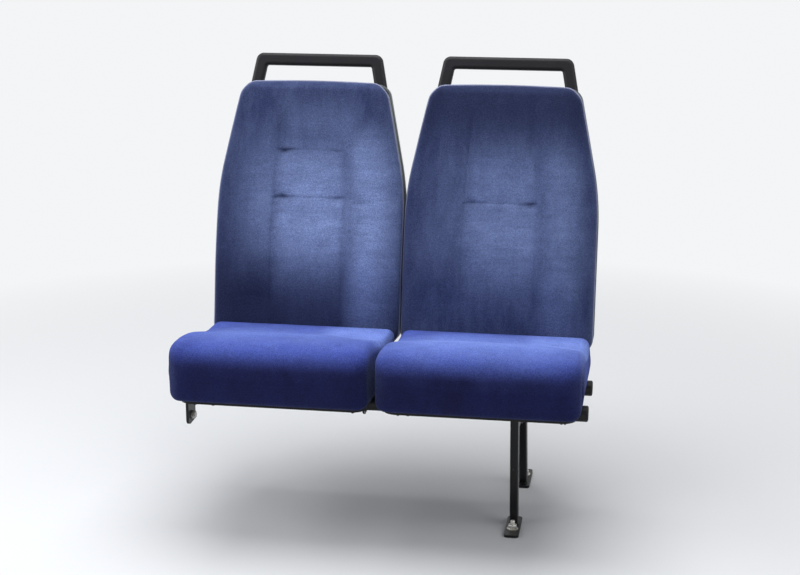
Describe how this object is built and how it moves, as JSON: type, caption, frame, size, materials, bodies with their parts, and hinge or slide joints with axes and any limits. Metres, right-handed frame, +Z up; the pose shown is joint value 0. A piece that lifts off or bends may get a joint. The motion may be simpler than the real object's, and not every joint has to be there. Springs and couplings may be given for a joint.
{
  "type": "twin passenger seat",
  "caption": "Twin high-backed bus passenger seat: padded cushions and backrests with grab handles on a steel frame with a floor leg and side wall brackets.",
  "frame": {"origin": "on the floor, midway between the two floor bolts of the leg", "axes": "+X towards the aisle, +Y towards the rear of the seat (the seat faces -Y), +Z up"},
  "size_m": [0.882, 0.6089, 0.9869],
  "materials": {
    "backrest_fabric": "short plush, slate blue, worn paler at the middle",
    "cushion_fabric": "short plush, blue",
    "moulded_shell": "fine grain, grey",
    "handle_grip": "fine grain, black",
    "pan_plastic": "satin, black",
    "frame_paint": "satin, black",
    "leg_paint": "satin, black",
    "cap_plastic": "satin, black"
  },
  "bodies": {
    "root": {"backrest_pad_window": "backrest_fabric", "backrest_pad_aisle": "backrest_fabric", "backrest_shell_window": "moulded_shell", "backrest_shell_aisle": "moulded_shell", "grab_handle_window": "handle_grip", "grab_handle_aisle": "handle_grip", "seat_cushion_window": "cushion_fabric", "seat_cushion_aisle": "cushion_fabric", "seat_pan_window": "pan_plastic", "seat_pan_aisle": "pan_plastic", "frame_arm_window_inner": "frame_paint", "back_upright_window_inner": "frame_paint", "frame_arm_window_outer": "frame_paint", "back_upright_window_outer": "frame_paint", "frame_arm_aisle_inner": "frame_paint", "back_upright_aisle_inner": "frame_paint", "frame_arm_aisle_outer": "frame_paint", "back_upright_aisle_outer": "frame_paint", "cross_tube_front": "frame_paint", "wall_bracket_front": "frame_paint", "tube_cap_front": "cap_plastic", "leg_clamp_front": "leg_paint", "leg_post_front": "leg_paint", "leg_foot_front": "leg_paint", "cross_tube_rear": "frame_paint", "wall_bracket_rear": "frame_paint", "tube_cap_rear": "cap_plastic", "leg_clamp_rear": "leg_paint", "leg_post_rear": "leg_paint", "leg_foot_rear": "leg_paint", "leg_gusset": "leg_paint"}
  },
  "joints": []
}
